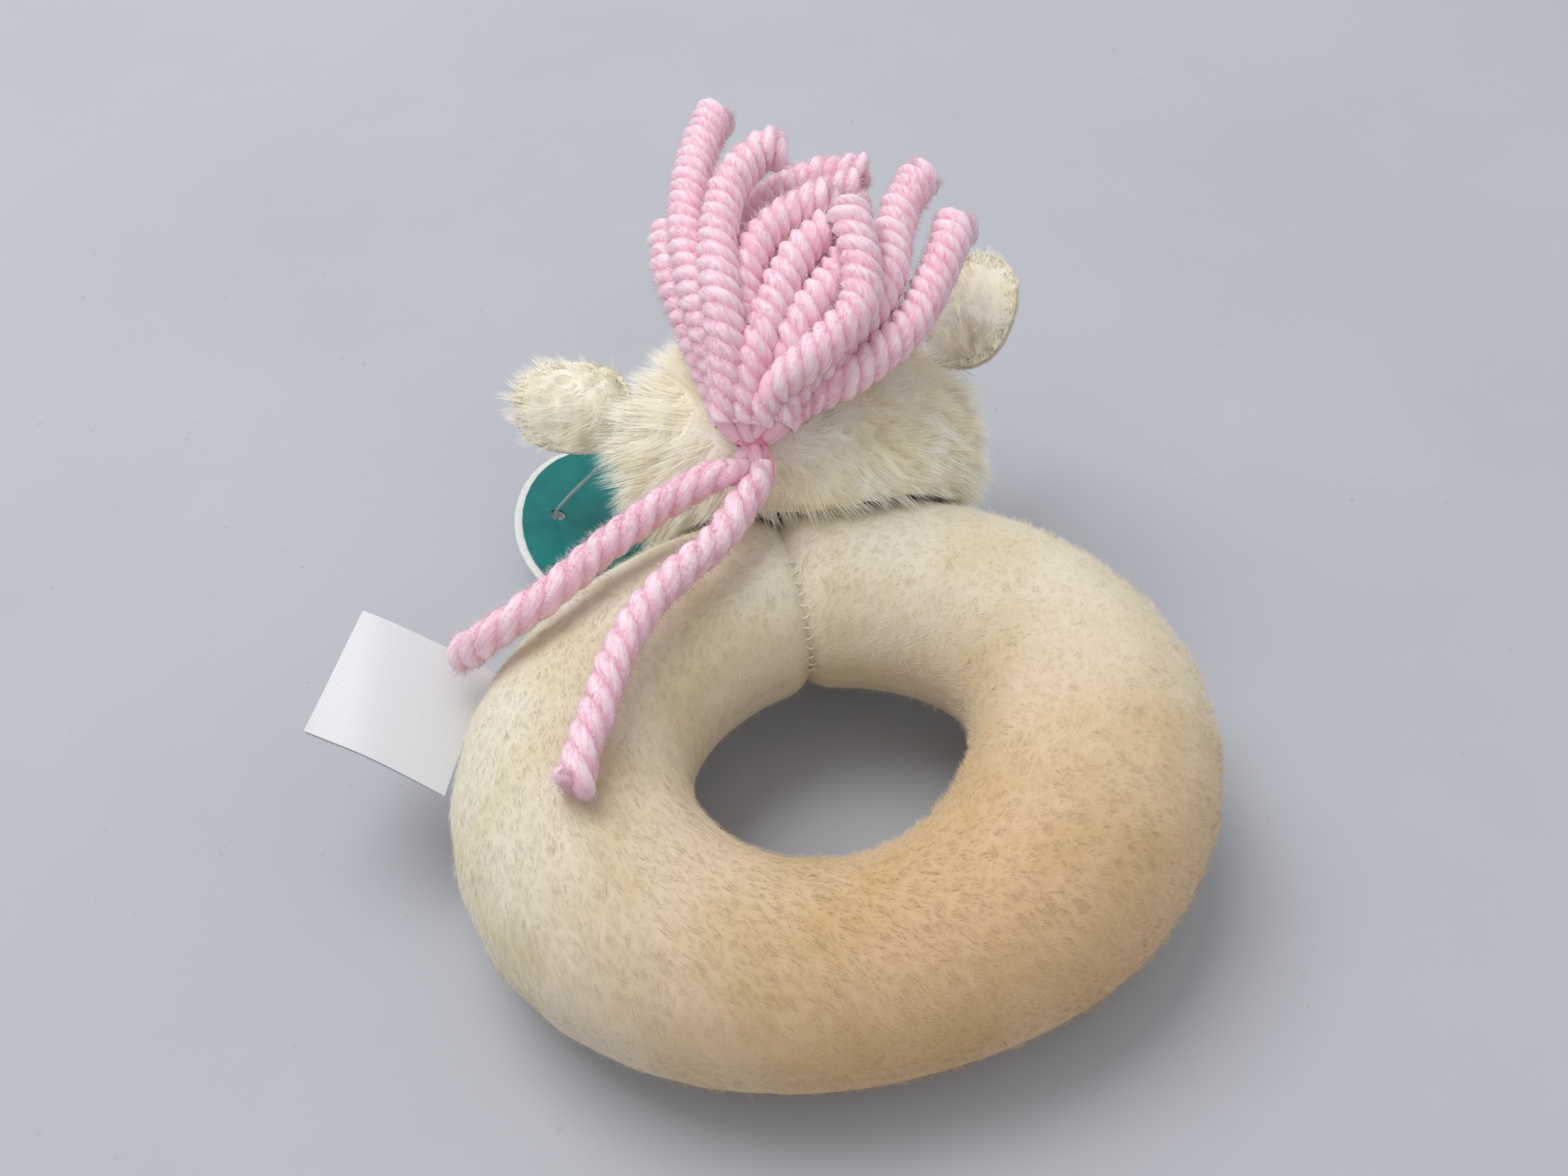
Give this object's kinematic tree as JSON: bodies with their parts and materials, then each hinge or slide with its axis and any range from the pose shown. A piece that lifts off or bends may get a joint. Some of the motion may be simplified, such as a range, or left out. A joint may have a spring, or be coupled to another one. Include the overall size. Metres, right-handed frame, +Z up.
{
  "type": "plush ring rattle",
  "caption": "Soft baby rattle lying face down: a stuffed plush ring with an animal's head, ears, a yarn mane and long yarn tails, a sewn care label and an oval swing tag.",
  "frame": {"origin": "middle of the box of everything but the yarn, on the floor that the toy lies on", "axes": "+X to the toy's right as it lies, +Y from the ring towards the head's crown, +Z up, out of the toy's back"},
  "size_m": [0.1502, 0.164, 0.0819],
  "materials": {
    "cream_plush": "long soft pile",
    "cream_velboa": "short soft pile",
    "wadding": "loose fibre filling",
    "satin_lining": "smooth satin",
    "pink_yarn": "twisted chunky yarn",
    "pink_thread": "shiny thread",
    "brown_thread": "satin stitch",
    "cream_thread": "sewing thread",
    "white_satin": "satin ribbon",
    "teal_card": "laminated card",
    "white_card": "uncoated card",
    "clear_nylon": "clear filament",
    "white_plastic": "moulded plastic",
    "bead_steel": "plain"
  },
  "bodies": {
    "toy": {"head_back_cover": "cream_plush", "head_face_cover": "cream_plush", "ring_back_left": "cream_velboa", "ring_back_right": "cream_velboa", "ring_front_left": "cream_velboa", "ring_front_right": "cream_velboa", "muzzle_cover": "cream_velboa", "ring_stuffing_left": "wadding", "ring_stuffing_right": "wadding", "head_back_stuffing": "wadding", "head_face_stuffing": "wadding", "muzzle_stuffing": "wadding", "mane_strand_01": "pink_yarn", "mane_strand_02": "pink_yarn", "mane_strand_03": "pink_yarn", "mane_strand_04": "pink_yarn", "mane_strand_05": "pink_yarn", "mane_strand_06": "pink_yarn", "mane_strand_07": "pink_yarn", "mane_strand_08": "pink_yarn", "mane_strand_09": "pink_yarn", "mane_strand_10": "pink_yarn", "mane_strand_11": "pink_yarn", "mane_strand_12": "pink_yarn", "tail_left": "pink_yarn", "tail_right": "pink_yarn", "mane_tie": "pink_thread", "eye_left": "brown_thread", "eye_right": "brown_thread", "nostril_left": "brown_thread", "nostril_right": "brown_thread", "mouth_stitch": "brown_thread", "closing_thread": "cream_thread", "tag_pin": "clear_nylon", "rattle_cup": "white_plastic", "rattle_cap": "white_plastic"},
    "ear_left": {"ear_back_left": "cream_plush", "ear_lining_left": "satin_lining"},
    "ear_right": {"ear_back_right": "cream_plush", "ear_lining_right": "satin_lining"},
    "care_label_lower": {"care_label_lower": "white_satin"},
    "care_label_upper": {"care_label_upper": "white_satin"},
    "tag_front": {"tag_front": "teal_card"},
    "tag_back": {"tag_back": "white_card"},
    "rattle_bead_1": {"rattle_bead_1": "bead_steel"},
    "rattle_bead_2": {"rattle_bead_2": "bead_steel"},
    "rattle_bead_3": {"rattle_bead_3": "bead_steel"}
  },
  "joints": [
    {"name": "ear_left_fold", "type": "hinge", "parent": "toy", "child": "ear_left", "pos_m": [-0.02541, 0.05073, 0.03598], "axis": [-0.0962, -0.7934, -0.6011], "range_deg": [-25, 25], "stiffness_Nm_per_rad": 0.002},
    {"name": "ear_right_fold", "type": "hinge", "parent": "toy", "child": "ear_right", "pos_m": [0.03311, 0.05411, 0.04296], "axis": [-0.7718, 0.5575, -0.3058], "range_deg": [-25, 25], "stiffness_Nm_per_rad": 0.002},
    {"name": "care_label_bend", "type": "hinge", "parent": "toy", "child": "care_label_lower", "pos_m": [-0.04897, -0.01435, 0.02256], "axis": [-0.2572, -0.9595, -0.1147], "range_deg": [-12, 25], "stiffness_Nm_per_rad": 0.0015},
    {"name": "care_label_lift", "type": "hinge", "parent": "care_label_lower", "child": "care_label_upper", "pos_m": [-0.04897, -0.01435, 0.02256], "axis": [-0.2572, -0.9595, -0.1147], "range_deg": [-20, 0], "stiffness_Nm_per_rad": 0.0008},
    {"name": "tag_front_swing", "type": "hinge", "parent": "toy", "child": "tag_front", "pos_m": [-0.0418, 0.04811, 0.0109], "axis": [0.2419, 0, 0.9703], "range_deg": [-20, 20]},
    {"name": "tag_back_swing", "type": "hinge", "parent": "toy", "child": "tag_back", "pos_m": [-0.0418, 0.04811, 0.0109], "axis": [0.2419, 0, 0.9703], "range_deg": [-20, 20]},
    {"name": "rattle_bead_1_slide", "type": "slide", "parent": "toy", "child": "rattle_bead_1", "axis": [1, 0, 0], "range_m": [-0.0031, 0.0095]},
    {"name": "rattle_bead_2_slide", "type": "slide", "parent": "toy", "child": "rattle_bead_2", "axis": [1, 0, 0], "range_m": [-0.0063, 0.0063]},
    {"name": "rattle_bead_3_slide", "type": "slide", "parent": "toy", "child": "rattle_bead_3", "axis": [1, 0, 0], "range_m": [-0.0095, 0.0031]}
  ]
}
